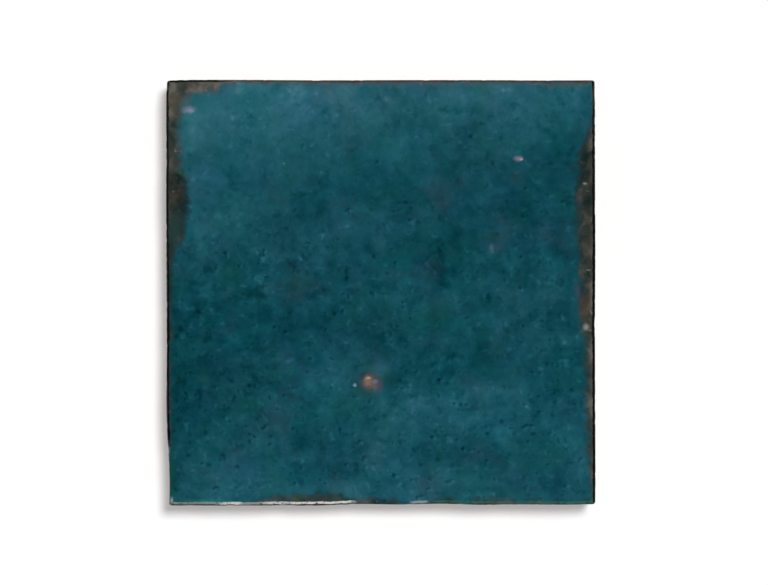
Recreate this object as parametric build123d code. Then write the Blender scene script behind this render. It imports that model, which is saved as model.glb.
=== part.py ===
from build123d import *

import math
import os

# Glazed ceramic wall tile with a hand-made look, pressed and fired as one piece.
# It lies on its back: the glazed face looks up, along +Z, and the back rests on Z = 0.
# X runs across the face, Y runs up it, and the origin is under the middle of the face.
# All sizes are in millimetres.

# Overall size
face_width = 100.0
face_height = 99.2
thickness = 10.0

# Edges of the face, which wander inside the overall rectangle.
# Each row gives how far the edge stands in from that rectangle, at even steps along it:
# the side edges from bottom to top, the other two from left to right.
left_inset = (0.70, 0.68, 0.16, 0.12, 0.14, 0.10, 0.02, 0.00, 0.02, 0.00, 0.08)
right_inset = (0.05, 0.00, 0.04, 0.10, 0.06, 0.00, 0.08, 0.05, 0.20)
bottom_inset = (0.00, 0.02, 0.00, 0.02, 0.03, 0.36, 0.23, 0.42, 0.20, 0.30, 0.25, 0.36)
top_inset = (0.10, 0.00, 0.12, 0.15, 0.08, 0.05, 0.12, 0.10)

# Sides: the tile is narrower at the back, so that neighbours can stand close
side_undercut = 0.5
corner_radius = 0.6
arris_radius = 0.5
back_chamfer = 0.4

# Waves of the pressed face, each with its length, its depth, and the way it runs in degrees
broad_wave = {"length": 78.0, "depth": 0.34, "heading": 28.0, "shift": 9.0}
cross_wave = {"length": 57.0, "depth": 0.26, "heading": 112.0, "shift": -14.0}
short_wave = {"length": 31.0, "depth": 0.12, "heading": 67.0, "shift": 5.0}
edge_fall = 0.35
edge_fall_width = 7.0

# Face surface: spacing of the points it passes through, and how far it overhangs the edges
face_step = 5.5
face_overhang = 4.0

# Burst blisters that left open craters in the glaze: place on the face, width and depth
craters = (
    {"x": -2.4, "y": -20.8, "width": 3.6, "depth": 0.35},
    {"x": 32.4, "y": 31.4, "width": 1.5, "depth": 0.20},
    {"x": 25.9, "y": 11.2, "width": 1.8, "depth": 0.16},
    {"x": -22.4, "y": 30.5, "width": 1.3, "depth": 0.16},
)

# Flakes knocked off the arris: the side they are on, their place along it as a share of half
# the side, their length along the arris and how deep they bite into it
edge_flakes = (
    {"side": "left", "along": 0.985, "length": 4.0, "bite": 0.55},
    {"side": "left", "along": 0.62, "length": 7.0, "bite": 0.22},
    {"side": "left", "along": -0.74, "length": 5.0, "bite": 0.30},
    {"side": "right", "along": 0.93, "length": 5.0, "bite": 0.28},
    {"side": "right", "along": -0.17, "length": 6.5, "bite": 0.35},
    {"side": "top", "along": -0.72, "length": 9.0, "bite": 0.25},
    {"side": "bottom", "along": -0.45, "length": 8.0, "bite": 0.40},
    {"side": "bottom", "along": -0.12, "length": 4.5, "bite": 0.30},
    {"side": "bottom", "along": 0.58, "length": 6.0, "bite": 0.24},
)

# Key for the adhesive: a waffle of shallow pockets pressed into the back
pocket_count = 8
pocket_depth = 0.8
pocket_corner_radius = 1.2
pocket_draft = 20.0
back_rim = 4.5
pocket_land = 2.4

half_width = face_width / 2
half_height = face_height / 2


def share_along(values, index):
    return index / (len(values) - 1)


def between(start, end, share):
    return start + (end - start) * share


# Outline of the tile at one level, drawn a given distance inside the face's own edges
def outline(level, inset):
    def x_left(index):
        return -half_width + left_inset[index] + inset

    def x_right(index):
        return half_width - right_inset[index] - inset

    def y_bottom(index):
        return -half_height + bottom_inset[index] + inset

    def y_top(index):
        return half_height - top_inset[index] - inset

    bottom = [
        (between(x_left(0), x_right(0), share_along(bottom_inset, i)), y_bottom(i), level)
        for i in range(len(bottom_inset))
    ]
    right = [
        (x_right(i), between(y_bottom(-1), y_top(-1), share_along(right_inset, i)), level)
        for i in range(len(right_inset))
    ]
    top = [
        (between(x_left(-1), x_right(-1), share_along(top_inset, i)), y_top(i), level)
        for i in range(len(top_inset))
    ]
    left = [
        (x_left(i), between(y_bottom(0), y_top(0), share_along(left_inset, i)), level)
        for i in range(len(left_inset))
    ]
    edges = [Spline(*bottom), Spline(*right), Spline(*reversed(top)), Spline(*reversed(left))]
    return Wire(edges)


# Pressed blank, drafted from the back up to well above the face
def pressed_blank():
    headroom = thickness + face_overhang
    flare = side_undercut * face_overhang / thickness
    blank = Solid.make_loft([outline(0, side_undercut), outline(headroom, -flare)], True)
    upright_edges = [edge for edge in blank.edges() if edge.bounding_box().size.Z > thickness / 2]
    return fillet(upright_edges, corner_radius)


# One wave: 0 on its crest and its full depth in its trough
def wave_drop(wave, x, y):
    heading = math.radians(wave["heading"])
    along = x * math.cos(heading) + y * math.sin(heading) - wave["shift"]
    return wave["depth"] * (1 - math.cos(2 * math.pi * along / wave["length"])) / 2


# The face rolls down gently towards each edge before the arris itself
def edge_drop(x, y):
    near_side = max(0.0, 1 - max(0.0, half_width - abs(x)) / edge_fall_width)
    near_end = max(0.0, 1 - max(0.0, half_height - abs(y)) / edge_fall_width)
    return edge_fall * (near_side**2 + near_end**2)


def face_level(x, y):
    waves = (broad_wave, cross_wave, short_wave)
    return thickness - sum(wave_drop(wave, x, y) for wave in waves) - edge_drop(x, y)


# Smooth sheet through the wavy face, wider than the tile on every side
def face_sheet():
    reach_x = half_width + face_overhang
    reach_y = half_height + face_overhang
    steps_x = math.ceil(2 * reach_x / face_step)
    steps_y = math.ceil(2 * reach_y / face_step)
    rows = []
    for i in range(steps_x + 1):
        x = between(-reach_x, reach_x, i / steps_x)
        ys = [between(-reach_y, reach_y, j / steps_y) for j in range(steps_y + 1)]
        rows.append([Vector(x, y, face_level(x, y)) for y in ys])
    return Face.make_surface_from_array_of_points(rows)


# Everything above the sheet is cut off the blank, and the cut's edge becomes the arris
def faced_tile():
    above = extrude(face_sheet(), amount=thickness, dir=(0, 0, 1))
    tile = pressed_blank() - above
    face = tile.faces().sort_by(Axis.Z)[-1]
    tile = fillet(face.edges(), arris_radius)
    back = tile.faces().sort_by(Axis.Z)[0]
    return chamfer(back.edges(), back_chamfer)


# A crater is the dent that a ball leaves, wide and shallow
def crater_ball(crater):
    radius = (crater["width"] ** 2 / 4 + crater["depth"] ** 2) / (2 * crater["depth"])
    surface = face_level(crater["x"], crater["y"])
    return Pos(crater["x"], crater["y"], surface - crater["depth"] + radius) * Sphere(radius)


# How far an edge stands in at any place along it, from -1 at its start to 1 at its end
def inset_at(insets, along):
    steps = (along + 1) / 2 * (len(insets) - 1)
    before = min(int(steps), len(insets) - 2)
    return between(insets[before], insets[before + 1], steps - before)


# Middle of a side's rolled arris, and the way that side faces
def arris_place(side, along):
    roll = arris_radius * (1 - math.sqrt(0.5))
    x, y, heading = {
        "right": (half_width - inset_at(right_inset, along) - roll, along * half_height, 0),
        "top": (along * half_width, half_height - inset_at(top_inset, along) - roll, 90),
        "left": (-half_width + inset_at(left_inset, along) + roll, along * half_height, 180),
        "bottom": (along * half_width, -half_height + inset_at(bottom_inset, along) + roll, 270),
    }[side]
    return Vector(x, y, face_level(x, y) - roll), math.radians(heading)


# A flake is also a shallow bite of a ball, taken at 45 degrees across the arris
def flake_ball(flake):
    place, heading = arris_place(flake["side"], flake["along"])
    radius = (flake["length"] ** 2 / 4 + flake["bite"] ** 2) / (2 * flake["bite"])
    outward = Vector(math.cos(heading), math.sin(heading), 1).normalized()
    return Pos(*(place + outward * (radius - flake["bite"]))) * Sphere(radius)


def back_pockets():
    reach_x = face_width - 2 * (side_undercut + back_rim)
    reach_y = face_height - 2 * (side_undercut + back_rim)
    pitch_x = (reach_x + pocket_land) / pocket_count
    pitch_y = (reach_y + pocket_land) / pocket_count
    mouth = RectangleRounded(pitch_x - pocket_land, pitch_y - pocket_land, pocket_corner_radius)
    pocket = extrude(mouth, amount=pocket_depth, taper=pocket_draft)
    places = GridLocations(pitch_x, pitch_y, pocket_count, pocket_count)
    return [place * pocket for place in places]


def wall_tile():
    tile = faced_tile()
    tile -= [crater_ball(crater) for crater in craters]
    tile -= [flake_ball(flake) for flake in edge_flakes]
    tile -= back_pockets()
    return tile


os.makedirs("parts", exist_ok=True)
tile = wall_tile()
tile.label = "tile"
export_step(tile, "parts/tile.step")
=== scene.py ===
import math

import bpy
import numpy as np
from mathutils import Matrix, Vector, noise


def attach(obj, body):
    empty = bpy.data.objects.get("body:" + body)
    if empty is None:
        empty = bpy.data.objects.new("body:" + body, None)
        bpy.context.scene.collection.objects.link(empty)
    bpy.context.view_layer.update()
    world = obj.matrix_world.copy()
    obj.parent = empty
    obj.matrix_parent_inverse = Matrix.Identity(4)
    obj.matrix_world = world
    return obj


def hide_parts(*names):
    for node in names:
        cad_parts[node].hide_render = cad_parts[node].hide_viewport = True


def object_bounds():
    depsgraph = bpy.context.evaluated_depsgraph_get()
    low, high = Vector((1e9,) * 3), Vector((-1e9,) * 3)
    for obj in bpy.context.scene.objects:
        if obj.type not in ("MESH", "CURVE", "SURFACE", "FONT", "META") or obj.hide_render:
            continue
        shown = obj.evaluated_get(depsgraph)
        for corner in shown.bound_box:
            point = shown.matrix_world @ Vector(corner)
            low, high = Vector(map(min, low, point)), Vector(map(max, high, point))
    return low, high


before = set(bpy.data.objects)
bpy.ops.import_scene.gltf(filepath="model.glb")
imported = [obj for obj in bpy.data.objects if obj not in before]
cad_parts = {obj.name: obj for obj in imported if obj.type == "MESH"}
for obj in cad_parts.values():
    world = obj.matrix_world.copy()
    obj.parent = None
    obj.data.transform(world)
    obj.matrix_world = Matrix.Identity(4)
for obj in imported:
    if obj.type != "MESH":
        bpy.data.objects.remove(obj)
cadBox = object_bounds()
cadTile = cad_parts["tile"]
mm = 0.001
print("frame loaded")

# Camera: straight down on the face, as the photo was taken
photoCamera = {
    "lens": 180.0,
    "sensor": 36.0,
    "edgeLevel": 9.0,              # mm above the ground, where the tile is widest
    "imageWidth": 768,
    "imageHeight": 585,
    "pixelSize": 0.2325,           # mm of the face that one pixel of the photo covers
    "tileCentre": (380.3, 292.2),  # pixel of the photo over the origin
    "clip": (0.01, 10.0),          # metres
}


# Millimetres on the face, for a pixel of the photo
def onFace(column, row):
    x = (column - photoCamera["tileCentre"][0]) * photoCamera["pixelSize"]
    y = (photoCamera["tileCentre"][1] - row) * photoCamera["pixelSize"]
    return x, y


def setCamera():
    look = photoCamera
    width = look["imageWidth"] * look["pixelSize"] * mm
    height = look["edgeLevel"] * mm + width * look["lens"] / look["sensor"]
    middle = onFace((look["imageWidth"] - 1) / 2, (look["imageHeight"] - 1) / 2)
    bpy.ops.object.camera_add(location=(middle[0] * mm, middle[1] * mm, height), rotation=(0, 0, 0))
    camera = bpy.context.object
    camera.name = "photoCamera"
    camera.data.lens = look["lens"]
    camera.data.sensor_width = look["sensor"]
    camera.data.clip_start, camera.data.clip_end = look["clip"]
    bpy.context.scene.camera = camera


# A socket that can be added, multiplied and so on, each sum becoming a Math node
class Wire:
    def __init__(self, recipe, socket):
        self.recipe = recipe
        self.socket = socket

    def maths(self, operation, first, second=0.0):
        return self.recipe.node("ShaderNodeMath", {"operation": operation}, {0: first, 1: second})

    def __add__(self, other):
        return self.maths("ADD", self, other)

    def __radd__(self, other):
        return self.maths("ADD", other, self)

    def __sub__(self, other):
        return self.maths("SUBTRACT", self, other)

    def __rsub__(self, other):
        return self.maths("SUBTRACT", other, self)

    def __mul__(self, other):
        return self.maths("MULTIPLY", self, other)

    def __rmul__(self, other):
        return self.maths("MULTIPLY", other, self)

    def __truediv__(self, other):
        return self.maths("DIVIDE", self, other)

    def __abs__(self):
        return self.maths("ABSOLUTE", self)

    def sine(self):
        return self.maths("SINE", self)

    def most(self, other):
        return self.maths("MAXIMUM", self, other)

    # 0 below the start, 1 past the end and a smooth slope between; the start may be the larger
    def rise(self, start, end):
        settings = {"interpolation_type": "SMOOTHSTEP", "clamp": True}
        return self.recipe.node("ShaderNodeMapRange", settings, {0: self, 1: start, 2: end})


# The nodes of one material or world
class Recipe:
    def __init__(self, owner):
        owner.use_nodes = True
        self.tree = owner.node_tree
        self.tree.nodes.clear()

    # Adds a node, sets it up, fills its sockets with values or wires, and returns one of its outputs
    def node(self, kind, settings=None, sockets=None, output=0):
        made = self.tree.nodes.new(kind)
        for name, value in (settings or {}).items():
            if name == "stops":
                self.setStops(made.color_ramp, value)
            else:
                setattr(made, name, value)
        for name, value in (sockets or {}).items():
            if isinstance(value, Wire):
                self.tree.links.new(value.socket, made.inputs[name])
            else:
                made.inputs[name].default_value = value
        return Wire(self, made.outputs[output]) if made.outputs else made

    def setStops(self, ramp, stops):
        while len(ramp.elements) < len(stops):
            ramp.elements.new(0.5)
        for element, (position, colour) in zip(ramp.elements, stops):
            element.position = position
            element.color = colour

    def shift(self, place, offset):
        return self.node("ShaderNodeVectorMath", {"operation": "ADD"}, {0: place, 1: offset})

    def stretch(self, place, factors):
        return self.node("ShaderNodeVectorMath", {"operation": "MULTIPLY"}, {0: place, 1: factors})

    def axis(self, place, index):
        return self.node("ShaderNodeSeparateXYZ", None, {0: place}, index)

    def field(self, name):
        return self.node("ShaderNodeAttribute", {"attribute_name": name}, None, "Fac")

    # Noise as a look gives it, with its size, detail and roughness
    def noise(self, place, look, output=0):
        place = self.shift(place, look["offset"]) if "offset" in look else place
        sockets = {"Vector": place, "Scale": 1 / look["size"], "Detail": look["detail"],
                   "Roughness": look["roughness"], "Distortion": look.get("distortion", 0.0)}
        return self.node("ShaderNodeTexNoise", None, sockets, output)

    # Noise about 0 instead of about a half
    def drift(self, place, look):
        return self.noise(place, look) - 0.5

    # Patches of noise, from 0 where it is low to 1 where it is high
    def patches(self, place, look):
        return self.noise(place, look).rise(*look["between"])

    # One colour laid over another where the mask is 1
    def cover(self, mask, under, over):
        settings = {"data_type": "RGBA", "blend_type": "MIX"}
        return self.node("ShaderNodeMix", settings, {0: mask, 6: under, 7: over}, 2)

    # Patches of a look's own colour over another
    def strew(self, place, look, under):
        return self.cover(self.patches(place, look) * look["strength"], under, shade(*look["colour"]))

    # A ramp of colours over a value that runs from one level to another
    def ramp(self, tones, value):
        low, high = tones[0][0], tones[-1][0]
        stops = [((level - low) / (high - low), shade(*colour)) for level, colour in tones]
        return self.node("ShaderNodeValToRGB", {"stops": stops}, {0: (value - low) / (high - low)})


# Linear colour with alpha, from the 8-bit values that a screen shows
def shade(red, green, blue):
    def linear(value):
        share = value / 255
        return share / 12.92 if share <= 0.04045 else ((share + 0.055) / 1.055) ** 2.4

    return linear(red), linear(green), linear(blue), 1.0


def selectOnly(piece):
    bpy.ops.object.select_all(action="DESELECT")
    piece.select_set(True)
    bpy.context.view_layer.objects.active = piece


def applied(piece, kind, **settings):
    modifier = piece.modifiers.new(kind.title(), kind)
    for name, value in settings.items():
        setattr(modifier, name, value)
    selectOnly(piece)
    bpy.ops.object.modifier_apply(modifier=modifier.name)


# Studio: white ground, soft sun from the upper right, dim even sky with a dark ceiling for gloss
studio = {
    "groundSize": 4.0,
    "white": (1.0, 1.0, 1.0, 1.0),
    "groundGlow": 0.32,        # share of the ground's white that no shadow reaches
    "glowStrength": 1.05,
    "sunTilt": (0.25, 0.29),   # how far the sun leans right and up, for 1 upwards
    "sunWidth": 17.0,          # degrees
    "sunShare": 0.84,          # of the light on the face, the rest is sky
    "wallGloss": 0.58,         # white panels all round that the glaze mirrors
    "ceiling": (0.75, 0.1),    # height at which the walls have gone dark, and at which they start to
    "panelHeight": 0.286,      # from one row of panels to the next; all these heights are sines
    "panelStart": 0.26,
    "panelEdge": 0.95,         # how soft the edge of a panel is, up to 1
    "panelShare": 0.9,         # of the gloss, the rest fills the gaps between the panels
}


def setGround():
    bpy.ops.object.select_all(action="DESELECT")
    bpy.ops.mesh.primitive_plane_add(size=studio["groundSize"])
    ground = bpy.context.object
    ground.name = "ground"
    ground.data.materials.append(bpy.data.materials.new("whiteGround"))
    recipe = Recipe(ground.data.materials[0])
    seen = recipe.node("ShaderNodeLightPath", None, None, "Is Camera Ray")
    paper = recipe.node("ShaderNodeBsdfDiffuse", None, {"Color": studio["white"]})
    shine = {"Color": studio["white"], "Strength": studio["glowStrength"]}
    glow = recipe.node("ShaderNodeEmission", None, shine)
    mixed = recipe.node("ShaderNodeMixShader", None, {0: seen * studio["groundGlow"], 1: paper, 2: glow})
    recipe.node("ShaderNodeOutputMaterial", None, {0: mixed})


def setSun():
    bpy.ops.object.light_add(type="SUN")
    sun = bpy.context.object
    sun.name = "softSun"
    toSun = Vector((studio["sunTilt"][0], studio["sunTilt"][1], 1)).normalized()
    sun.rotation_euler = toSun.to_track_quat("Z", "Y").to_euler()
    sun.data.angle = math.radians(studio["sunWidth"])
    sun.data.energy = math.pi * studio["sunShare"] / toSun.z
    sun.visible_glossy = False


def setSky():
    sky = bpy.data.worlds.new("studioSky")
    bpy.context.scene.world = sky
    recipe = Recipe(sky)
    upward = recipe.axis(recipe.node("ShaderNodeTexCoord", None, None, "Generated"), 2)
    row = (upward - studio["panelStart"]) * (2 * math.pi / studio["panelHeight"])
    panel = studio["panelShare"] * row.sine().rise(0.0, studio["panelEdge"])
    panel = panel + (1 - studio["panelShare"])
    gloss = upward.rise(*studio["ceiling"]) * panel * studio["wallGloss"]
    fill = 1 - studio["sunShare"]
    glossy = recipe.node("ShaderNodeLightPath", None, None, "Is Glossy Ray")
    camera = recipe.node("ShaderNodeLightPath", None, None, "Is Camera Ray")
    strength = fill + glossy * (gloss - fill)
    strength = strength + camera * (1 - strength)
    light = recipe.node("ShaderNodeBackground", None, {"Color": studio["white"], "Strength": strength})
    recipe.node("ShaderNodeOutputWorld", None, {0: light})


setCamera()
setGround()
setSun()
setSky()
scene = bpy.context.scene
scene.view_settings.view_transform = "Standard"
print("studio set")

# The tile's mesh: an even skin over the CAD tile that carries the real relief, in mm
skin = {
    "mergeWithin": 0.001,
    "cell": 0.42,
    "smoothRounds": 90,
    "smoothShare": 0.5,
    "flatFrom": 1.6,           # smoothing starts this far inside the edges
    "flatFull": 4.0,
    "flatLean": (0.7, 0.9),    # and only where the surface looks up this much
    "weightSteps": 20,
    "keptShare": 0.64,         # of the triangles, after the back is thinned
    "backLevel": (3.0, 1.5),   # thinning grows from the one level down to the other
}

# Relief, in mm: a size is that of the noise, a depth is how far it moves the surface
relief = {
    "faceLean": (0.45, 0.85),  # how much the surface looks up, from none of the face's relief to all of it
    "sideLean": (0.8, 0.4),    # the same for the sides' relief
    "glazeDepth": 0.15,
    "glazeStep": 0.5,          # either way from the edge of the glaze
    "glazeBead": 0.05,
    "beadPlace": -0.9,
    "beadWidth": 0.6,
    "spillDepth": 0.09,
    "spillStep": 0.25,
    "ripple": {"size": 9.0, "depth": 0.09, "octaves": 2, "seed": 2},
    "hammer": {"size": 6.0, "depth": 0.04, "octaves": 2, "seed": 9},
    "peel": {"size": 2.1, "depth": 0.008, "octaves": 2, "seed": 3},
    "clayGrain": {"size": 0.9, "depth": 0.06, "octaves": 3, "seed": 4},
    "sideGrain": {"size": 1.6, "depth": 0.07, "octaves": 3, "seed": 7, "drag": (1, 1, 0.2)},
    "nicks": {"size": 1.7, "depth": 0.07, "octaves": 2, "seed": 8, "between": (0.12, 0.5)},
    "nickedRim": (0.7, 0.2),   # how far inside the edge the nicks end, and where they are deepest
    "nickedLevel": (7.0, 8.5),
}

# How every field of noise is read
fieldNoise = {
    "falloff": 1.0,
    "finer": 2.0,              # times, each octave than the one before
    "seedStep": (17.3, 5.1, 9.7),
}

# Small pits at random places, most of them in the lower half and to the left, and single ones
pits = {
    "seed": 11,
    "count": 100,
    "span": 47,                # either way from the middle of the face
    "chance": 0.75,            # that a pit in the middle of the face is kept
    "fewerUp": 0.007,          # off that chance for each mm
    "fewerRight": 0.003,
    "radius": (0.5, 0.85),
    "depth": (0.04, 0.10),
    "stretch": (0.75, 1.3),
    "reach": 1.4,              # times the radius, past which no pit goes
    "floor": 0.1,              # of a pit, as a share of its radius
    "loneRadius": 0.75,
    "loneDepth": 0.16,
}

# Burst blisters: place in mm, radius of the open crater and its depth
blisters = (
    {"at": (-2.1, -21.1), "radius": 2.0, "depth": 0.34},
    {"at": (32.3, 31.2), "radius": 0.9, "depth": 0.20},
    {"at": (25.8, 10.6), "radius": 1.0, "depth": 0.14},
    {"at": (-22.4, 30.1), "radius": 0.7, "depth": 0.12},
)

# Section of a blister: how steep its bowl is, and its rim as shares of the depth and the radius
blisterShape = {"bowl": 1.5, "rimHeight": 0.2, "rimPlace": 1.15, "rimWidth": 0.3}

# Single pits and pale flecks that stand out, in pixels of the photo; the last six flecks are painted
# glints along the bottom edge
lonePits = (
    (346, 278), (307, 243), (373, 256), (492, 163), (470, 136), (405, 202), (515, 119), (334, 313),
    (175, 336), (506, 201), (522, 215), (496, 234), (187, 455), (208, 464), (237, 466), (222, 454),
    (249, 441), (234, 397), (249, 385), (205, 432), (269, 397), (554, 402), (552, 415), (460, 404),
    (437, 459), (533, 433), (487, 433), (501, 421), (420, 464), (413, 449), (571, 390), (429, 478),
)
loneFlecksAndGlints = (
    (284, 163), (312, 111), (336, 115), (259, 118), (316, 93), (230, 146), (238, 225), (469, 132),
    (436, 254), (447, 290), (200, 324), (323, 381), (491, 338), (508, 349), (476, 467), (564, 320),
    (226, 417), (254, 414), (207, 437), (231, 487), (453, 393), (411, 491), (575, 448), (410, 385),
    # from (212, 500) on, painted glints along the bottom edge
    (534, 197), (212, 500), (219, 498), (223, 501), (229, 502), (237, 502), (171, 500),
)
loneFleckAndGlintReach = 0.45

# Glaze that ran over the arris: how far down the sides it reaches, in mm
overspill = {
    "level": 9.2,
    "reach": 1.7,
    "least": 0.7,
    "onFace": 2,               # added where the surface looks up, which is always covered
    "waver": {"size": 11.0, "depth": 3.0, "octaves": 2, "seed": 5},
    "runs": {"size": 3.6, "depth": 5.5, "octaves": 1, "seed": 6, "from": 0.12},
    "clusters": {"size": 17.0, "octaves": 1, "seed": 12, "between": (-0.1, 0.3)},
}

# Wear along each side: how far in from the edge the glaze is gone, at places along the side in mm
wear = {
    "left": ((-49.5, -0.7), (-37, -0.7), (-35, 0.1), (-10, 0.3), (-2, 0.6), (5, 0.7), (10, 1.5),
             (13.5, 3.9), (21, 4.7), (26, 4.5), (28.5, 3.4), (34, 2.9), (40, 2.9), (43, 3.3),
             (46, 4.6), (49.5, 5.5)),
    "right": ((-49.5, 0.6), (-44, 1.0), (-37, 1.6), (-11, 1.9), (-9, 2.9), (-2, 3.2), (10, 3.4),
              (22, 3.7), (30, 3.3), (35, 2.6), (38, 1.2), (39.5, 0.1), (49.5, 0.0)),
    "bottom": ((-49.5, -0.2), (-31, -0.2), (-28, 1.3), (-20, 2.3), (-9, 2.0), (-6, 0.9), (3, 1.1),
               (5, -0.3), (10, -0.3), (12, 1.0), (17, 1.0), (19, -0.3), (22, 0.8), (28, 0.8),
               (31, 0.1), (49.5, 0.6)),
    "top": ((-49.5, 5.5), (-46, 4.7), (-43.5, 2.9), (-39, 2.7), (-38, 2.3), (-37.2, 1.1), (-34, 0.6),
            (-31, 0.3), (49.5, 0.3)),
}
raggedWear = {"size": 3.2, "depth": 0.55, "octaves": 3, "seed": 1}

# Painted shade line along the arris: 1 where it is black, 0 where it is brown, and below 0 where it fades
# out
arrisShadeLine = {
    "left": ((-49.5, -0.7), (-36.2, -0.7), (-35.8, 1), (-2, 0.95), (8, 0.7), (14, 0.6), (49.5, 0.6)),
    "right": ((-49.5, 1), (49.5, 1)),
    "bottom": ((-49.5, 0), (-8, 0), (-7, -1), (9, -1), (11, 0), (17, 0), (19, -1), (49.5, -1)),
    "top": ((-49.5, 0.75), (-37, 0.5), (-34, 0.24), (49.5, 0.24)),
}

# Glaze thinned out beside the bare clay: above 0 it turns dark, below 0 it turns pale and grey
thinFringe = {
    "left": ((-49.5, 0.4), (3, 0.9), (22, 0.9), (27, 0.2), (32, -0.1), (44, -0.2), (49.5, 0.3)),
    "right": ((-49.5, 0.3), (-14, 0.5), (-8, 0.2), (0, 0.6), (10, 1.0), (32, 1.0), (38, 0.5),
              (44, 0), (49.5, -0.3)),
    "bottom": ((-49.5, -0.2), (-30, -0.1), (-20, 0.4), (-6, 0.3), (0, 0), (49.5, 0.4)),
    "top": ((-49.5, 0.3), (-42, 0.2), (-37, -0.6), (49.5, -0.8)),
}

# Pale chips with a painted highlight just inside the arris of the bottom side: above 0 a white line, below
# 0 a thin painted green glint
paleChips = {
    "along": ((-49.5, 0.5), (-47, 0.25), (-38, 0.3), (-36, 0.9), (-33, 0.9), (-32, 0.35), (-28, 0.4),
              (-25, 1), (-7, 1), (-5.5, 0), (6.5, 0), (7.5, 0.35), (10.5, 0.35), (11.5, 0),
              (13, -0.45), (30, -0.3), (49.5, -0.5)),
    "inside": (2.0, 1.5),      # mm from the edge, where the chips and glints have ended and where they are whole
}

# Soft lighter and darker clouds of the glaze: place, reach and the change of tone
glazeClouds = (
    {"at": (-30, 47), "reach": (34, 10), "tone": 22},
    {"at": (28, 48), "reach": (34, 8), "tone": 20},
    {"at": (44, 46), "reach": (8, 5), "tone": 7},
    {"at": (-22, 38), "reach": (20, 8), "tone": 8},
    {"at": (-38, 34), "reach": (15, 13), "tone": 7},
    {"at": (-34, 14), "reach": (16, 9), "tone": 3},
    {"at": (5, 32), "reach": (6, 5), "tone": 5},
    {"at": (32, 31), "reach": (5, 5), "tone": 13},
    {"at": (42, 30), "reach": (6, 5), "tone": -8},
    {"at": (-8, 26), "reach": (7, 9), "tone": -4},
    {"at": (-42, 30), "reach": (7, 6), "tone": 8},
    {"at": (38, 41), "reach": (8, 6), "tone": 5},
    {"at": (-14, 46), "reach": (16, 6), "tone": 4},
    {"at": (-12, 8), "reach": (12, 6), "tone": 5},
    {"at": (-45, 3), "reach": (6, 6), "tone": -6},
    {"at": (8, 19), "reach": (10, 8), "tone": -13},
    {"at": (38, 6), "reach": (12, 8), "tone": -4},
    {"at": (22, -14), "reach": (24, 7), "tone": -8},
    {"at": (-16, -34), "reach": (9, 8), "tone": 4},
    {"at": (27, 24), "reach": (20, 8), "tone": -2},
    {"at": (34, -5), "reach": (10, 5), "tone": -8},
    {"at": (47, 24), "reach": (8, 13), "tone": -5},
    {"at": (28, 3), "reach": (10, 5), "tone": -5},
    {"at": (-47, -17), "reach": (11, 12), "tone": -15},
    {"at": (-7, -20), "reach": (8, 6), "tone": 9},
    {"at": (14, -29), "reach": (22, 8), "tone": 7},
    {"at": (35, -8), "reach": (15, 9), "tone": 3},
    {"at": (47, -19), "reach": (6, 5), "tone": -6},
    {"at": (47, -38), "reach": (8, 8), "tone": 6},
    {"at": (0, -38), "reach": (9, 5), "tone": 5},
    {"at": (-38, -40), "reach": (14, 7), "tone": 4},
    {"at": (-12, -38), "reach": (8, 5), "tone": 4},
    {"at": (-20, -47), "reach": (34, 5), "tone": 14},
    {"at": (-30, -17), "reach": (6, 4), "tone": 8},
    {"at": (20, -47), "reach": (30, 5), "tone": 7},
    {"at": (-44, 38), "reach": (4, 10), "tone": 10},
    {"at": (-46, 20), "reach": (5, 15), "tone": 6},
    {"at": (-31, 24), "reach": (5, 4), "tone": 6},
    {"at": (-9, -25), "reach": (5, 4), "tone": 6},
    {"at": (12, -25), "reach": (6, 4), "tone": 6},
    {"at": (31, -18), "reach": (5, 4), "tone": -6},
    {"at": (5, -45), "reach": (6, 4), "tone": -9},
    {"at": (-3, -17), "reach": (4, 3), "tone": 7},
    {"at": (-46, 2), "reach": (4, 4), "tone": -6},
    {"at": (25, -39), "reach": (5, 4), "tone": -6},
    {"at": (47, -38), "reach": (4, 4), "tone": 6},
    {"at": (-24, 38), "reach": (4, 3), "tone": 6},
    {"at": (11, -18), "reach": (4, 3), "tone": -6},
    {"at": (39, 10), "reach": (4, 3), "tone": -6},
)

# Where the glaze is redder, above 0, or greener, as a share of its red
redClouds = (
    {"at": (14, -10), "reach": (7, 7), "tone": -0.6},
    {"at": (-41, 16), "reach": (7, 6), "tone": -0.4},
    {"at": (-34.5, -10), "reach": (6, 6), "tone": -0.5},
    {"at": (26, -35.5), "reach": (7, 7), "tone": -0.4},
    {"at": (-34.5, 42), "reach": (6, 5), "tone": -0.3},
    {"at": (-20, 43.5), "reach": (7, 5), "tone": -0.3},
    {"at": (21, 35.5), "reach": (6, 5), "tone": 0.5},
    {"at": (11, 4.5), "reach": (6, 5), "tone": -0.45},
    {"at": (-18, -20), "reach": (6, 6), "tone": -0.35},
)

# Where the fine mottling is stronger, above 0, or calmer, as a share of its strength
busyClouds = (
    {"at": (4, 27), "reach": (46, 11), "tone": -0.32},
    {"at": (-27, 6), "reach": (26, 11), "tone": 0.28},
    {"at": (2, -20), "reach": (40, 6), "tone": 0.14},
)

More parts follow.
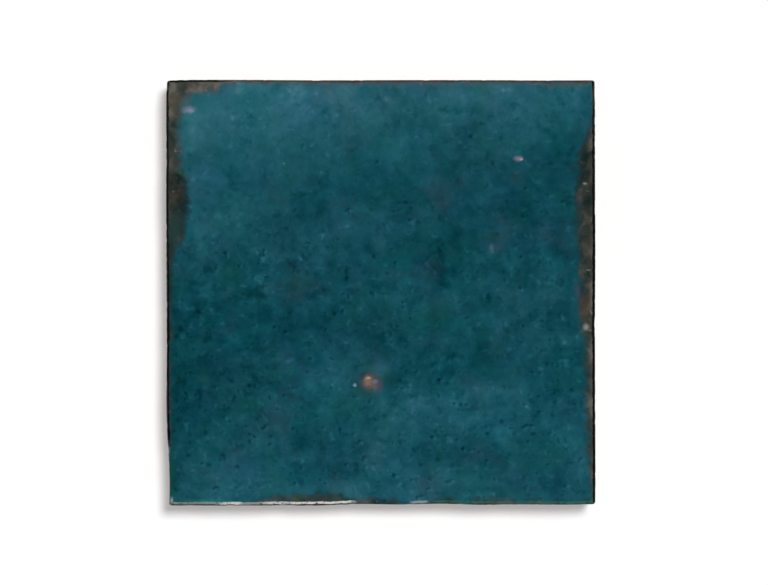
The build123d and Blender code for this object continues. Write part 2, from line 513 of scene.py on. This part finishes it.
# Lighter and darker clouds of the bare clay, whose tone runs from 0 to 1
clayClouds = (
    {"at": (-44, 48.5), "reach": (9, 4), "tone": 0.18},
    {"at": (-46.2, 47.3), "reach": (2.5, 2.5), "tone": 0.08},
    {"at": (-44, 45.5), "reach": (2.5, 2.5), "tone": 0.08},
    {"at": (-47, 40), "reach": (5, 4), "tone": 0.06},
    {"at": (-45.5, 28.5), "reach": (3, 1.8), "tone": 0.07},
    {"at": (-47.5, 22.5), "reach": (2.5, 2.5), "tone": -0.08},
    {"at": (-48, 21.5), "reach": (6, 5.5), "tone": -0.17},
    {"at": (-49, 6), "reach": (4, 9), "tone": -0.16},
    {"at": (49, 37), "reach": (4, 5), "tone": 0.08},
    {"at": (48, 24), "reach": (5, 4), "tone": -0.12},
    {"at": (48, 31), "reach": (5, 8), "tone": -0.10},
    {"at": (48.5, 22.8), "reach": (3, 2), "tone": 0.04},
    {"at": (48.5, 16.5), "reach": (3, 3), "tone": -0.06},
    {"at": (48, 8), "reach": (5, 6), "tone": 0.05},
    {"at": (48.5, 5), "reach": (3, 3), "tone": 0.05},
    {"at": (48, -5), "reach": (4, 4), "tone": 0.06},
    {"at": (49, -14), "reach": (3, 3), "tone": -0.08},
    {"at": (49, -30), "reach": (4, 18), "tone": 0.07},
    {"at": (49, -31), "reach": (3, 4), "tone": 0.08},
)

# Scuffed line of paler clay close to the right edge: how far in it runs, its width and its tone
scuff = {"inside": 0.85, "width": 0.35, "tone": 0.08}

# Rays from outside that feel where the four wandering edges run, in mm
edgeRays = {
    "level": 8.0,
    "count": 160,
    "span": 48.8,              # either way from the middle of a side
    "start": 60,
    "missed": 49.5,            # the edge where a ray meets nothing
}


# Smooth step from 0 at the start to 1 at the end, for whole arrays
def rise(values, start, end):
    share = np.clip((values - start) / (end - start), 0, 1)
    return share * share * (3 - 2 * share)


# Bell-shaped bump of height 1 about a place
def bell(values, place, width):
    return np.exp(-(((values - place) / width) ** 2))


# Noise about 0 at each point; a feature of it is about one size across
def drift(points, look):
    offset = Vector([look["seed"] * step for step in fieldNoise["seedStep"]])
    falloff, finer, octaves = fieldNoise["falloff"], fieldNoise["finer"], look["octaves"]
    places = [Vector(point) / look["size"] + offset for point in points]
    return np.array([noise.fractal(place, falloff, finer, octaves) for place in places])


# Relief of noise, shifted so that it goes inwards
def dented(points, look):
    return look["depth"] * (0.5 + drift(points, look))


# How far out each edge runs, at even steps along its side
def feelEdges():
    steps = np.linspace(-edgeRays["span"], edgeRays["span"], edgeRays["count"])
    sides = {"left": (-1, 0), "right": (1, 0), "bottom": (0, -1), "top": (0, 1)}
    edges = {}
    for side, (outX, outY) in sides.items():
        found = []
        for step in steps:
            x = outX * edgeRays["start"] or step
            y = outY * edgeRays["start"] or step
            start = Vector((x, y, edgeRays["level"])) * mm
            hit, place, _, _ = cadTile.ray_cast(start, Vector((-outX, -outY, 0)))
            found.append(abs(place.x if outX else place.y) / mm if hit else edgeRays["missed"])
        edges[side] = (steps, np.array(found))
    return edges


def readPoints(mesh):
    points = np.empty(len(mesh.vertices) * 3, np.float32)
    normals = np.empty(len(mesh.vertices) * 3, np.float32)
    mesh.vertices.foreach_get("co", points)
    mesh.vertices.foreach_get("normal", normals)
    return points.reshape(-1, 3).astype(float) / mm, normals.reshape(-1, 3).astype(float)


# Puts the points back, none of them past the CAD tile's own box
def writePoints(mesh, points):
    low, high = [np.array(corner) / mm for corner in cadBox]
    mesh.vertices.foreach_set("co", (np.clip(points, low, high) * mm).astype(np.float32).ravel())
    mesh.update()


def writeField(mesh, name, values):
    field = mesh.attributes.new(name, "FLOAT", "POINT")
    field.data.foreach_set("value", values.astype(np.float32))


def setWeights(piece, name, weights):
    group = piece.vertex_groups.new(name=name)
    steps = np.round(weights * skin["weightSteps"]).astype(int)
    for step in range(1, skin["weightSteps"] + 1):
        group.add(np.flatnonzero(steps == step).tolist(), step / skin["weightSteps"], "REPLACE")


# How far each point stands inside each edge, seen from above
def insideEdges(points, edges):
    x, y = points[:, 0], points[:, 1]
    return {
        "left": x + np.interp(y, *edges["left"]),
        "right": np.interp(y, *edges["right"]) - x,
        "bottom": y + np.interp(x, *edges["bottom"]),
        "top": np.interp(x, *edges["top"]) - y,
    }


# The same for whichever edge is nearest
def insideNearest(inside):
    return np.min(list(inside.values()), axis=0)


# A profile read at each point by its place along one side
def alongSide(points, side, profile):
    places, values = zip(*profile)
    return np.interp(points[:, 1] if side in ("left", "right") else points[:, 0], places, values)


# The profile of whichever side is nearest
def nearestSide(points, inside, profiles):
    names = list(profiles)
    nearest = np.argmin([inside[name] for name in names], axis=0)
    values = [alongSide(points, name, profiles[name]) for name in names]
    return np.choose(nearest, values)


# Depth inside the worn edges, below 0 on sound glaze
def wornDepth(points, inside):
    depths = [alongSide(points, side, wear[side]) - away for side, away in inside.items()]
    return np.max(depths, axis=0) + drift(points, raggedWear) * raggedWear["depth"]


def cloudTone(points, clouds):
    tone = np.zeros(len(points))
    for cloud in clouds:
        away = (points[:, :2] - cloud["at"]) / cloud["reach"]
        tone += cloud["tone"] * np.exp(-(away**2).sum(axis=1))
    return tone


# Round and oval dents, the single ones first
def pitDepth(points):
    random = np.random.default_rng(pits["seed"])
    places = [onFace(*pit) for pit in lonePits]
    for _ in range(pits["count"]):
        place = random.uniform(-pits["span"], pits["span"], 2)
        if random.random() < pits["chance"] - pits["fewerUp"] * place[1] - pits["fewerRight"] * place[0]:
            places.append(place)
    depth = np.zeros(len(points))
    for index, place in enumerate(places):
        alone = index < len(lonePits)
        radius = pits["loneRadius"] if alone else random.uniform(*pits["radius"])
        deepest = pits["loneDepth"] if alone else random.uniform(*pits["depth"])
        stretch = random.uniform(*pits["stretch"])
        near = np.flatnonzero(np.abs(points[:, :2] - place).max(axis=1) < radius * pits["reach"])
        away = np.hypot(*((points[near, :2] - place) / (radius * stretch, radius / stretch)).T)
        depth[near] = np.maximum(depth[near], deepest * (1 - rise(away, pits["floor"], 1.0)))
    return depth


# Open craters with a low rim
def blisterDepth(points):
    shape = blisterShape
    depth = np.zeros(len(points))
    for blister in blisters:
        away = np.hypot(*(points[:, :2] - blister["at"]).T) / blister["radius"]
        depth += blister["depth"] * np.maximum(1 - away**2, 0) ** shape["bowl"]
        depth -= shape["rimHeight"] * blister["depth"] * bell(away, shape["rimPlace"], shape["rimWidth"])
    return depth


# Pale flecks and painted glints, each a soft round spot
def fleckAndGlintTone(points):
    tone = np.zeros(len(points))
    for fleck in loneFlecksAndGlints:
        away = points[:, :2] - onFace(*fleck)
        tone += np.exp(-(away**2).sum(axis=1) / loneFleckAndGlintReach**2)
    return tone


# Glaze left on the sides: above 0 where it covers them
def spillField(points):
    flat = points * (1, 1, 0)
    waver = drift(flat, overspill["waver"]) * overspill["waver"]["depth"]
    runs = np.maximum(drift(flat, overspill["runs"]) - overspill["runs"]["from"], 0)
    clusters = rise(drift(flat, overspill["clusters"]), *overspill["clusters"]["between"])
    reach = overspill["reach"] + waver + np.sqrt(runs) * clusters * overspill["runs"]["depth"]
    reach = np.maximum(reach, overspill["least"])
    return reach - (overspill["level"] - points[:, 2])


# Pushes every point in along its normal by the depth of the relief there
def carveRelief(points, normals, inside):
    onFront = rise(normals[:, 2], *relief["faceLean"])
    onSide = rise(np.abs(normals[:, 2]), *relief["sideLean"])
    worn = wornDepth(points, inside)
    spill = spillField(points) + overspill["onFace"] * onFront
    dents = pitDepth(points)

    glazed = 1 - rise(worn, -relief["glazeStep"], relief["glazeStep"])
    bead = bell(worn, relief["beadPlace"], relief["beadWidth"]) * relief["glazeBead"]
    ripple = dented(points, relief["ripple"])
    ripple += dented(points, relief["hammer"])
    peel = relief["peel"]["depth"] * drift(points, relief["peel"])
    grain = dented(points, relief["clayGrain"])
    step = (relief["glazeDepth"] + grain) * (1 - glazed)
    depth = onFront * (ripple + (peel + dents) * glazed - bead + step)
    depth += onFront * blisterDepth(points)

    bare = 1 - rise(spill, -relief["spillStep"], relief["spillStep"])
    drag = dented(points * relief["sideGrain"]["drag"], relief["sideGrain"])
    depth += onSide * bare * (relief["spillDepth"] + drag)

    nicks = rise(drift(points, relief["nicks"]), *relief["nicks"]["between"]) * relief["nicks"]["depth"]
    nicks = nicks * rise(insideNearest(inside), *relief["nickedRim"])
    depth += nicks * rise(points[:, 2], *relief["nickedLevel"])
    return points - normals * depth[:, None], worn, spill, dents * glazed


# An even mesh that fits the CAD tile, smoothed on the face but not at its edges
def wrapTile(edges):
    tile = bpy.data.objects.new("glazedTile", cadTile.data.copy())
    bpy.context.scene.collection.objects.link(tile)
    tile.data.materials.clear()
    selectOnly(tile)
    bpy.ops.object.mode_set(mode="EDIT")
    bpy.ops.mesh.select_all(action="SELECT")
    bpy.ops.mesh.remove_doubles(threshold=skin["mergeWithin"] * mm)
    bpy.ops.object.mode_set(mode="OBJECT")
    applied(tile, "REMESH", mode="VOXEL", voxel_size=skin["cell"] * mm, use_smooth_shade=True)
    applied(tile, "SHRINKWRAP", target=cadTile, wrap_method="NEAREST_SURFACEPOINT")

    points, normals = readPoints(tile.data)
    calm = rise(insideNearest(insideEdges(points, edges)), skin["flatFrom"], skin["flatFull"])
    calm = calm * rise(normals[:, 2], *skin["flatLean"])
    setWeights(tile, "calmFace", calm)
    applied(tile, "SMOOTH", factor=skin["smoothShare"], iterations=skin["smoothRounds"],
            vertex_group="calmFace")
    return tile


# Carves the relief and leaves on every point what the material reads there
def carveTile(tile, edges):
    points, normals = readPoints(tile.data)
    inside = insideEdges(points, edges)
    setWeights(tile, "backSide", rise(points[:, 2], *skin["backLevel"]))
    carved, worn, spill, dents = carveRelief(points, normals, inside)
    writePoints(tile.data, carved)
    chipsAndGlints = alongSide(points, "bottom", paleChips["along"]) * rise(inside["bottom"], *paleChips["inside"])
    scuffed = bell(inside["right"], scuff["inside"], scuff["width"]) * scuff["tone"]
    fields = {
        "worn": worn,
        "spill": spill,
        "pits": dents,
        "rim": insideNearest(inside),
        "burnt": nearestSide(points, inside, arrisShadeLine),
        "fringe": nearestSide(points, inside, thinFringe),
        "paleChips": chipsAndGlints,
        "cloud": cloudTone(points, glazeClouds),
        "clayCloud": cloudTone(points, clayClouds) + scuffed,
        "busy": cloudTone(points, busyClouds),
        "red": cloudTone(points, redClouds),
        "flecks": fleckAndGlintTone(points),
    }
    for name, values in fields.items():
        writeField(tile.data, name, values)


# Thins the back, where the mesh is finer than it needs to be
def thinBack(tile):
    applied(tile, "DECIMATE", ratio=skin["keptShare"], vertex_group="backSide",
            use_collapse_triangulate=True)
    writePoints(tile.data, readPoints(tile.data)[0])
    tile.vertex_groups.clear()


edges = feelEdges()
tile = wrapTile(edges)
carveTile(tile, edges)
thinBack(tile)
tile.data.calc_loop_triangles()
print("tile skinned:", len(tile.data.vertices), "points,", len(tile.data.loop_triangles), "triangles")

# Glaze: colours as a screen shows them, tones in the levels of a screen, sizes in mm
glaze = {
    "tone": 58.2,
    "tones": ((30, (2, 37, 46)), (45, (6, 58, 67)), (57, (15, 71, 82)), (67, (23, 82, 94)),
              (76, (31, 91, 104)), (90, (46, 103, 118)), (125, (108, 148, 158))),
    "scatter": {"size": 1.8, "detail": 1, "roughness": 0.5, "reach": 2.0},
    "mottle": {"size": 22, "detail": 5, "roughness": 0.76, "distortion": 0.2, "tone": 74},
    "stipple": {"size": 3.6, "detail": 2, "roughness": 0.6, "distortion": 0.3, "tone": 34},
    "upStreaks": {"size": 1.8, "detail": 2, "roughness": 0.6, "stretch": (1, 0.3, 1), "tone": 12},
    "acrossStreaks": {"size": 1.8, "detail": 2, "roughness": 0.6, "stretch": (0.3, 1, 1), "tone": 9},
    "crowd": {"size": 10, "detail": 2, "roughness": 0.6, "offset": (31, 7, 0), "between": (0.36, 0.62),
              "fewerUp": 0.0022},
    "marksFrom": (5, 50, 3),   # where in the noise the marks are read
    "specks": {"size": 1.8, "detail": 1, "roughness": 0.5, "between": (0.60, 0.80), "tone": -23},
    "blotches": {"size": 3.0, "detail": 2, "roughness": 0.6, "offset": (8, 3, 40),
                 "between": (0.56, 0.72), "tone": -10},
    # painted highlights just beside the specks, as on the lit rims of pits
    "speckHighlights": {"size": 1.8, "detail": 1, "roughness": 0.5, "offset": (-0.6, 0.45, 0),
                "between": (0.62, 0.76), "tone": 8},
    "flecks": {"size": 2.1, "detail": 1, "roughness": 0.5, "distortion": 0.4, "offset": (60, 9, 8),
               "between": (0.62, 0.82), "tone": 16},
    "pitShade": 135,            # painted shade in the pits: how much darker, for each mm of a pit's depth
    "violet": {"size": 11, "detail": 3, "roughness": 0.6, "offset": (4, 90, 2),
               "between": (0.50, 0.72), "strength": 0.2, "colour": (56, 76, 94)},
    "green": {"size": 10, "detail": 3, "roughness": 0.6, "offset": (70, 3, 1),
              "between": (0.48, 0.70), "strength": 0.28, "colour": (12, 78, 70)},
    "warm": {"size": 12, "detail": 2, "roughness": 0.5, "offset": (14, 9, 22),
             "middle": 1.16, "swing": 1.15, "least": 0.1},
    "blue": {"size": 13, "detail": 4, "roughness": 0.7, "offset": (7, 33, 61), "swing": 0.25},
}

# Worn edges: how the glaze thins out to bare clay, in mm of depth inside the wear
wornEdge = {
    "waver": {"size": 1.6, "detail": 3, "roughness": 0.6, "reach": 2.4},
    "thin": (-1.8, 0.4),
    "thinDark": (27, 52, 55),
    "thinPale": (76, 86, 92),
    "bare": (-1.3, 1.4),
    "bareShare": 0.94,         # so that a little glaze is left everywhere
}

# Bare clay: smears of olive and brown, patches of rust and pale flecks
clay = {
    "tones": ((0.30, (20, 34, 31)), (0.42, (40, 48, 43)), (0.52, (58, 60, 53)), (0.62, (80, 76, 67)),
              (0.74, (104, 98, 88))),
    "smear": {"size": 4.0, "detail": 2, "roughness": 0.55, "distortion": 0.4, "stretch": (1, 0.7, 1)},
    "rust": {"size": 5.0, "detail": 3, "roughness": 0.6, "distortion": 0.5, "offset": (80, 40, 4),
             "between": (0.52, 0.72), "strength": 0.3, "colour": (78, 56, 44)},
    "paleFlecks": {"size": 1.15, "detail": 1, "roughness": 0.5, "distortion": 0.6,
                   "offset": (15, 85, 4), "between": (0.66, 0.84), "strength": 0.6,
                   "colour": (124, 126, 116)},
}

# The painted shade line along the arris, and inside it the pale chips with their painted highlight and
# painted green glint, in mm from the edge
arris = {
    "waver": {"size": 1.4, "detail": 2, "roughness": 0.6, "reach": 0.5},
    "line": (0.34, 0.18),      # where it has ended, and where it is whole
    # the painted shade line is wider where it is black
    "shadeWider": 0.34,
    "chippedNarrower": 0.14,
    "blackFrom": (0.05, 0.7),  # how dark the painted shade is, from all brown to all black
    "fadedFrom": (-1.0, 0.0),
    "black": (10, 12, 10),
    "brown": (62, 58, 50),
    "chipsAndGlints": {"size": 0.8, "detail": 2, "roughness": 0.6, "between": (0.28, 0.46)},
    "chipPlace": 0.5,
    "chipWidth": (0.2, 0.44),
    # white of the chips with their painted highlight, then the painted green glint
    "chalkAndHighlight": (208, 211, 208),
    "glint": (52, 122, 112),
}

# The sides: the level at which they start, in mm, and the glaze that ran over onto them
sides = {
    "waver": {"size": 1.8, "detail": 3, "roughness": 0.6, "reach": 2.2},
    "level": (8.7, 8.2),
    "wornAway": (2.5, 1.0),    # depth of the wear that leaves no glaze on the side, and all of it
    "pooled": {"size": 2.0, "detail": 2, "roughness": 0.6, "between": (0.35, 0.65),
               "strength": 0.6, "colour": (6, 60, 72)},
    "spillWaver": {"size": 0.8, "detail": 2, "roughness": 0.6},
    "spillEdge": (-0.1, 0.15),
}

# Biscuit of the sides and the back, flashed dark under the edge of the glaze
biscuit = {
    "tones": ((0.25, (104, 62, 44)), (0.42, (136, 86, 62)), (0.55, (156, 102, 76)),
              (0.70, (184, 134, 104))),
    "body": {"size": 3.0, "detail": 5, "roughness": 0.75},
    "grog": {"size": 0.55, "detail": 1, "roughness": 0.5, "offset": (9, 9, 9),
             "between": (0.66, 0.74), "strength": 0.6, "colour": (206, 168, 138)},
    "iron": {"size": 0.5, "detail": 1, "roughness": 0.5, "offset": (29, 19, 9),
             "between": (0.68, 0.76), "strength": 0.8, "colour": (62, 38, 30)},
    "flashed": (58, 44, 36),
    "flashedFrom": (-2.2, 0.1),
}

# Relief finer than the mesh, in mm, and how rough the surfaces are
touch = {
    "peel": {"size": 1.8, "detail": 1, "roughness": 0.5, "height": 0.012},
    "speckDent": 0.03,
    "blotchDent": 0.012,
    "fleckRise": 0.012,
    "grit": {"size": 0.5, "detail": 4, "roughness": 0.7, "height": 0.16},
    "bareRoughness": 0.74,
    "polish": 0.69,            # how much less rough the glaze is
    "haze": {"size": 4.0, "detail": 3, "roughness": 0.6, "share": 0.06},
    "speckHaze": 0.2,
}

# Stains and painted glints, each laid over the ones before it: place and reach in pixels of the photo,
# strength, colour and, where its outline is a little crisper, how soft it is
stainsAndGlints = (
    # the big crater, with its dark ring, painted glints and halo
    {"at": (368.5, 382.5), "reach": (18.0, 14.5), "strength": 0.5, "colour": (50, 70, 76)},
    {"at": (363.5, 375.0), "reach": (6.0, 5.0), "strength": 0.65, "colour": (24, 46, 52)},
    {"at": (361, 391.5), "reach": (9, 4.5), "strength": 0.5, "colour": (28, 72, 66)},
    {"at": (367.5, 368.5), "reach": (8, 4), "strength": 0.45, "colour": (40, 72, 68)},
    {"at": (380, 368), "reach": (12, 11), "strength": 0.5, "colour": (48, 94, 110)},
    {"at": (370.4, 381.4), "reach": (10.8, 9.2), "strength": 0.85, "colour": (92, 84, 80)},
    {"at": (367.6, 380.8), "reach": (5.9, 7.0), "strength": 0.8, "colour": (138, 108, 92)},
    {"at": (379, 385.5), "reach": (4.6, 6.4), "strength": 0.7, "colour": (82, 70, 92)},
    {"at": (373.8, 386), "reach": (4.2, 3.8), "soft": 0.9, "strength": 0.75, "colour": (96, 97, 90)},
    {"at": (375, 381.5), "reach": (3.6, 2.4), "soft": 0.9, "strength": 0.8, "colour": (116, 118, 140)},
    {"at": (368.4, 386.2), "reach": (3.0, 1.8), "strength": 0.55, "colour": (104, 58, 60)},
    # painted glints on the crater
    {"at": (366.6, 378.2), "reach": (2.8, 1.7), "strength": 0.65, "colour": (152, 140, 130)},
    {"at": (368.4, 377.6), "reach": (1.9, 1.7), "strength": 0.85, "colour": (190, 164, 146)},
    {"at": (354.4, 384.2), "reach": (5.5, 4.5), "strength": 0.5, "colour": (12, 50, 58)},
    {"at": (354.4, 384.6), "reach": (2.4, 1.9), "strength": 0.8, "colour": (112, 158, 168)},
    {"at": (389.5, 381), "reach": (8.5, 11.0), "strength": 0.6, "colour": (12, 60, 60)},
    # the corner at the upper left, with a painted pink glint
    {"at": (176, 103), "reach": (9, 20), "strength": 0.5, "colour": (76, 77, 68)},
    {"at": (184.5, 101), "reach": (8, 9), "strength": 0.5, "colour": (76, 92, 94)},
    # painted pink glint
    {"at": (188, 109.6), "reach": (8, 4.4), "strength": 0.75, "colour": (116, 126, 152)},
    {"at": (190.5, 110), "reach": (3.6, 2.5), "strength": 0.6, "colour": (150, 136, 170)},
    {"at": (176, 99), "reach": (6, 5), "strength": 0.5, "colour": (88, 66, 52)},
    {"at": (190, 93.5), "reach": (3.2, 2.6), "strength": 0.5, "colour": (78, 60, 92)},
    # the blisters near the right, with a painted highlight above the upper one
    {"at": (517, 177), "reach": (10, 9), "strength": 0.5, "colour": (32, 62, 66)},
    # painted highlight above the blister
    {"at": (517.5, 152), "reach": (4.5, 3), "strength": 0.5, "colour": (26, 102, 112)},
    {"at": (517.8, 158), "reach": (5.4, 3.2), "strength": 0.75, "colour": (136, 126, 148)},
    {"at": (520.8, 158.8), "reach": (2.0, 1.5), "strength": 0.8, "colour": (200, 170, 180)},
    {"at": (493, 237), "reach": (11, 8), "strength": 0.45, "colour": (22, 60, 58)},
    {"at": (494, 247.5), "reach": (10, 3.2), "strength": 0.4, "colour": (52, 72, 80)},
    {"at": (491, 247), "reach": (3.0, 4.2), "strength": 0.6, "colour": (70, 110, 112)},
    # bruises along the right edge
    {"at": (583.5, 309), "reach": (5.5, 15), "strength": 0.65, "colour": (76, 57, 46)},
    {"at": (577, 291), "reach": (4, 11), "strength": 0.6, "colour": (62, 74, 98)},
    {"at": (581.5, 331), "reach": (3.0, 3.0), "strength": 0.6, "colour": (52, 98, 78)},
    {"at": (585.5, 327), "reach": (3.6, 4.2), "strength": 0.8, "colour": (140, 142, 140)},
    {"at": (588, 269.5), "reach": (3.4, 1.4), "strength": 0.6, "colour": (118, 118, 112)},
    {"at": (584, 183), "reach": (2.2, 1.6), "soft": 0.9, "strength": 0.8, "colour": (132, 142, 138)},
    # green glaze along the bottom edge, and a painted green glint on its left part
    {"at": (300, 495.5), "reach": (11, 3), "strength": 0.6, "colour": (48, 82, 62)},
    # painted green glint
    {"at": (206, 500.5), "reach": (24, 2.4), "strength": 0.6, "colour": (26, 116, 110)},
    # along the left edge
    {"at": (175, 230), "reach": (11, 27), "strength": 0.75, "colour": (32, 63, 62)},
    {"at": (171.5, 470), "reach": (3.0, 34), "strength": 0.6, "colour": (12, 76, 66)},
    {"at": (180, 172), "reach": (3.2, 3.0), "soft": 0.9, "strength": 0.7, "colour": (20, 92, 66)},
)

# Outline of a stain or painted glint: how soft it is, how far past its reach it fades out as a share of
# that softness, and how much of the glaze's scatter makes it waver
stainAndGlintEdge = {"soft": 0.95, "fade": 0.3, "smudge": 0.4}


# Where patterns are read, in mm: the point, how far it is scattered, and the scattered point
def readPlaces(recipe):
    place = recipe.node("ShaderNodeTexCoord", None, None, "Object")
    place = recipe.stretch(place, (1 / mm, 1 / mm, 1 / mm))
    reach = glaze["scatter"]["reach"]
    scatter = recipe.noise(place, glaze["scatter"], "Color")
    scatter = recipe.stretch(recipe.shift(scatter, (-0.5, -0.5, -0.5)), (reach, reach, reach))
    return place, scatter, recipe.shift(place, scatter)


# Dark specks and blotches, painted highlights beside the specks as on the lit rims of pits, and pale
# flecks, each from 0 to 1
def glazeMarks(recipe, place, sparse):
    crowd = recipe.noise(place, glaze["crowd"]) - recipe.axis(place, 1) * glaze["crowd"]["fewerUp"]
    crowd = crowd.rise(*glaze["crowd"]["between"])
    return {
        "specks": recipe.patches(sparse, glaze["specks"]) * crowd,
        "blotches": recipe.patches(sparse, glaze["blotches"]),
        "speckHighlights": recipe.patches(sparse, glaze["speckHighlights"]) * crowd,
        "flecks": recipe.patches(sparse, glaze["flecks"]),
    }


def glazeColour(recipe, loose, sparse, marks):
    tone = glaze["tone"] + recipe.field("cloud")
    tone = tone + recipe.drift(loose, glaze["mottle"]) * glaze["mottle"]["tone"]
    fine = recipe.drift(sparse, glaze["stipple"]) * glaze["stipple"]["tone"]
    for name in ("upStreaks", "acrossStreaks"):
        streaks = recipe.drift(recipe.stretch(loose, glaze[name]["stretch"]), glaze[name])
        fine = fine + streaks * glaze[name]["tone"]
    for name, mark in marks.items():
        fine = fine + mark * glaze[name]["tone"]
    tone = tone + fine * (1 + recipe.field("busy"))
    # pale flecks, and painted glints along the bottom edge
    tone = tone + recipe.field("flecks") * glaze["flecks"]["tone"]
    # painted shade in the pits, darker the deeper they are
    tone = tone - recipe.field("pits") * glaze["pitShade"]
    colour = recipe.ramp(glaze["tones"], tone)

    # the hue strays to violet, to green and to a warmer or colder teal
    colour = recipe.strew(loose, glaze["violet"], colour)
    colour = recipe.strew(loose, glaze["green"], colour)
    warm = glaze["warm"]["middle"] + recipe.drift(loose, glaze["warm"]) * glaze["warm"]["swing"]
    warm = (warm + recipe.field("red")).most(glaze["warm"]["least"])
    blue = recipe.drift(loose, glaze["blue"]) * glaze["blue"]["swing"]
    tint = recipe.node("ShaderNodeCombineXYZ", None, {0: warm, 1: 1 - blue, 2: 1 + blue})
    return recipe.stretch(colour, tint)


# Glaze that turns dark or pale where it thins out towards the bare clay
def thinned(recipe, worn, colour):
    fringe = recipe.field("fringe")
    thin = worn.rise(*wornEdge["thin"])
    colour = recipe.cover(thin * fringe.most(0.0), colour, shade(*wornEdge["thinDark"]))
    return recipe.cover(thin * (0 - fringe).most(0.0), colour, shade(*wornEdge["thinPale"]))


def clayColour(recipe, place, loose):
    smear = recipe.noise(recipe.stretch(loose, clay["smear"]["stretch"]), clay["smear"])
    colour = recipe.ramp(clay["tones"], smear + recipe.field("clayCloud"))
    colour = recipe.strew(loose, clay["rust"], colour)
    return recipe.strew(place, clay["paleFlecks"], colour)


# Stains and painted glints, laid over the colour one by one
def stainedAndGlinted(recipe, place, scatter, colour):
    smudge = recipe.stretch(scatter, (stainAndGlintEdge["smudge"], stainAndGlintEdge["smudge"], 0))
    smudged = recipe.shift(place, smudge)
    for stainOrGlint in stainsAndGlints:
        middle = onFace(*stainOrGlint["at"])
        reach = [side * photoCamera["pixelSize"] for side in stainOrGlint["reach"]]
        away = recipe.shift(smudged, (-middle[0], -middle[1], 0))
        away = recipe.stretch(away, (1 / reach[0], 1 / reach[1], 0))
        away = recipe.node("ShaderNodeVectorMath", {"operation": "LENGTH"}, {0: away}, "Value")
        soft = stainOrGlint.get("soft", stainAndGlintEdge["soft"])
        mask = away.rise(1.0 + soft * stainAndGlintEdge["fade"], 1.0 - soft) * stainOrGlint["strength"]
        colour = recipe.cover(mask, colour, shade(*stainOrGlint["colour"]))
    return colour


# The painted shade line along the arris, black or brown, and inside it the pale chips with their painted
# highlight and the painted green glints
def arrisLined(recipe, place, colour):
    rim = recipe.field("rim") + recipe.drift(place, arris["waver"]) * arris["waver"]["reach"]
    burnt = recipe.field("burnt")
    beside = abs(rim - arris["chipPlace"]).rise(*arris["chipWidth"])
    chipsAndGlints = recipe.field("paleChips") * ((1 - beside) * recipe.patches(place, arris["chipsAndGlints"]))
    # above 0, a white line of pale chips with a painted highlight; below 0, a painted green glint
    chalkAndHighlight = chipsAndGlints.most(0.0)
    colour = recipe.cover(chalkAndHighlight, colour, shade(*arris["chalkAndHighlight"]))
    colour = recipe.cover((0 - chipsAndGlints).most(0.0), colour, shade(*arris["glint"]))
    # painted shade along the arris, from brown to black
    line = recipe.cover(burnt.rise(*arris["blackFrom"]), shade(*arris["brown"]), shade(*arris["black"]))
    mask = rim + chalkAndHighlight * arris["chippedNarrower"] - burnt.most(0.0) * arris["shadeWider"]
    mask = mask.rise(*arris["line"]) * burnt.rise(*arris["fadedFrom"])
    return recipe.cover(mask, colour, line)


def biscuitColour(recipe, place, loose, spill):
    colour = recipe.ramp(biscuit["tones"], recipe.noise(loose, biscuit["body"]))
    colour = recipe.strew(place, biscuit["grog"], colour)
    colour = recipe.strew(place, biscuit["iron"], colour)
    return recipe.cover(spill.rise(*biscuit["flashedFrom"]), colour, shade(*biscuit["flashed"]))


# Fine bumps and roughness, for the share of glaze at each point
def surfaceTouch(recipe, place, loose, marks, glazed):
    dents = marks["specks"] * touch["speckDent"] + marks["blotches"] * touch["blotchDent"]
    dents = dents - marks["flecks"] * touch["fleckRise"]
    peel = recipe.drift(place, touch["peel"]) * touch["peel"]["height"]
    grit = recipe.drift(place, touch["grit"]) * touch["grit"]["height"]
    bumps = glazed * (peel - dents) + (1 - glazed) * grit
    normal = recipe.node("ShaderNodeBump", None, {"Strength": 1.0, "Distance": mm, "Height": bumps})
    haze = recipe.noise(loose, touch["haze"]) * touch["haze"]["share"]
    polish = touch["polish"] - haze - marks["specks"] * touch["speckHaze"]
    return normal, touch["bareRoughness"] - glazed * polish


# Glaze, worn edges and biscuit in one material
def glazeMaterial():
    material = bpy.data.materials.new("tealGlaze")
    recipe = Recipe(material)
    place, scatter, loose = readPlaces(recipe)
    sparse = recipe.shift(place, glaze["marksFrom"])
    marks = glazeMarks(recipe, place, sparse)

    # the face
    worn = recipe.field("worn") + recipe.drift(place, wornEdge["waver"]) * wornEdge["waver"]["reach"]
    bare = worn.rise(*wornEdge["bare"]) * wornEdge["bareShare"]
    glassy = thinned(recipe, worn, glazeColour(recipe, loose, sparse, marks))
    colour = recipe.cover(bare, glassy, clayColour(recipe, place, loose))
    colour = stainedAndGlinted(recipe, place, scatter, colour)
    colour = arrisLined(recipe, place, colour)

    # the sides: glaze that ran over, then biscuit
    level = recipe.axis(place, 2) + recipe.drift(place, sides["waver"]) * sides["waver"]["reach"]
    onSide = level.rise(*sides["level"])
    run = recipe.strew(loose, sides["pooled"], glassy)
    colour = recipe.cover(onSide * recipe.field("worn").rise(*sides["wornAway"]), colour, run)
    spill = recipe.field("spill") + recipe.drift(place, sides["spillWaver"])
    covered = spill.rise(*sides["spillEdge"])
    colour = recipe.cover(covered, biscuitColour(recipe, place, loose, spill), colour)

    glazed = (1 - bare * (1 - onSide)) * covered
    normal, roughness = surfaceTouch(recipe, place, loose, marks, glazed)
    surface = {"Base Color": colour, "Roughness": roughness, "Normal": normal}
    shader = recipe.node("ShaderNodeBsdfPrincipled", None, surface)
    recipe.node("ShaderNodeOutputMaterial", None, {0: shader})
    return material


tile.data.materials.append(glazeMaterial())
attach(tile, "root")
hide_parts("tile")
print("tile glazed")
